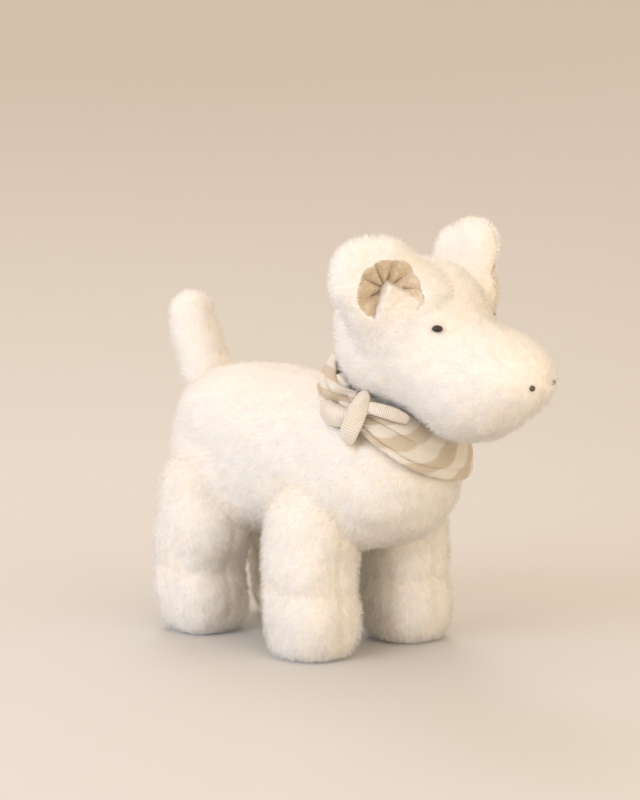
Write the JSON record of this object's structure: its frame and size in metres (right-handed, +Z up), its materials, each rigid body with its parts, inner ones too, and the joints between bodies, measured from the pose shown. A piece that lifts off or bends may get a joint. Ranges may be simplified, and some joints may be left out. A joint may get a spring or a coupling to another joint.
{
  "type": "plush dog",
  "caption": "Standing plush dog with short cream fur, upright ears lined with linen, a stub tail and a knotted striped scarf.",
  "frame": {"origin": "on the ground under the middle of the toy's bounding box", "axes": "+X forwards, from tail to nose; +Y to the dog's left; +Z up"},
  "size_m": [0.335, 0.1448, 0.2803],
  "materials": {
    "fur": "short soft cream pile, matt",
    "stuffing": "loose white polyester fibre",
    "scarf": "ribbed woven cotton with broad cream and beige stripes",
    "linen": "plain tan linen weave, gathered",
    "eye": "polished near-black bead",
    "washer": "natural nylon",
    "thread": "dark brown embroidery thread"
  },
  "bodies": {
    "torso": {"torso_skin_right": "fur", "torso_skin_left": "fur", "belly_gusset": "fur", "torso_stuffing": "stuffing", "scarf_ring": "scarf", "scarf_drape": "scarf", "scarf_knot": "scarf"},
    "neck": {"neck_skin": "fur", "neck_stuffing": "stuffing"},
    "head": {"head_skin_right": "fur", "head_skin_left": "fur", "muzzle_skin": "fur", "head_stuffing": "stuffing", "eye_right": "eye", "eye_left": "eye", "eye_washer_right": "washer", "eye_washer_left": "washer", "nostril_right": "thread", "nostril_left": "thread"},
    "ear_right": {"ear_right_fur": "fur", "ear_right_lining": "linen"},
    "ear_left": {"ear_left_fur": "fur", "ear_left_lining": "linen"},
    "tail": {"tail_skin": "fur", "tail_stuffing": "stuffing"},
    "leg_front_right": {"leg_front_right_outer_skin": "fur", "leg_front_right_inner_skin": "fur", "leg_front_right_sole": "fur", "leg_front_right_stuffing": "stuffing"},
    "leg_front_left": {"leg_front_left_outer_skin": "fur", "leg_front_left_inner_skin": "fur", "leg_front_left_sole": "fur", "leg_front_left_stuffing": "stuffing"},
    "leg_rear_right": {"leg_rear_right_outer_skin": "fur", "leg_rear_right_inner_skin": "fur", "leg_rear_right_sole": "fur", "leg_rear_right_stuffing": "stuffing"},
    "leg_rear_left": {"leg_rear_left_outer_skin": "fur", "leg_rear_left_inner_skin": "fur", "leg_rear_left_sole": "fur", "leg_rear_left_stuffing": "stuffing"}
  },
  "joints": [
    {"name": "head_turn", "type": "hinge", "parent": "torso", "child": "neck", "pos_m": [0.04845, 0, 0.166], "axis": [0.5736, 0, 0.8192], "range_deg": [-30, 18], "stiffness_Nm_per_rad": 1.5},
    {"name": "head_nod", "type": "hinge", "parent": "neck", "child": "head", "pos_m": [0.04845, 0, 0.166], "axis": [-0.2074, 0.9758, 0.0698], "range_deg": [-8, 8], "stiffness_Nm_per_rad": 2.5},
    {"name": "ear_right_fold", "type": "hinge", "parent": "head", "child": "ear_right", "pos_m": [0.08225, -0.04534, 0.24072], "axis": [0.4852, 0.8728, 0.0526], "range_deg": [-6, 20], "stiffness_Nm_per_rad": 0.03},
    {"name": "ear_left_fold", "type": "hinge", "parent": "head", "child": "ear_left", "pos_m": [0.06835, 0.04888, 0.24336], "axis": [-0.9901, 0.1384, 0.0239], "range_deg": [-6, 20], "stiffness_Nm_per_rad": 0.03},
    {"name": "leg_front_right_swing", "type": "hinge", "parent": "torso", "child": "leg_front_right", "pos_m": [0.01545, -0.042, 0.08], "axis": [0, 1, 0], "range_deg": [-14, 14], "stiffness_Nm_per_rad": 0.8},
    {"name": "leg_front_left_swing", "type": "hinge", "parent": "torso", "child": "leg_front_left", "pos_m": [0.01545, 0.042, 0.08], "axis": [0, 1, 0], "range_deg": [-14, 14], "stiffness_Nm_per_rad": 0.8},
    {"name": "leg_rear_right_swing", "type": "hinge", "parent": "torso", "child": "leg_rear_right", "pos_m": [-0.09655, -0.042, 0.087], "axis": [0, 1, 0], "range_deg": [-14, 14], "stiffness_Nm_per_rad": 0.8},
    {"name": "leg_rear_left_swing", "type": "hinge", "parent": "torso", "child": "leg_rear_left", "pos_m": [-0.09655, 0.042, 0.087], "axis": [0, 1, 0], "range_deg": [-14, 14], "stiffness_Nm_per_rad": 0.8},
    {"name": "tail_wag", "type": "hinge", "parent": "torso", "child": "tail", "pos_m": [-0.12955, 0, 0.17], "axis": [1, 0, 0], "range_deg": [-25, 25], "stiffness_Nm_per_rad": 0.05}
  ]
}
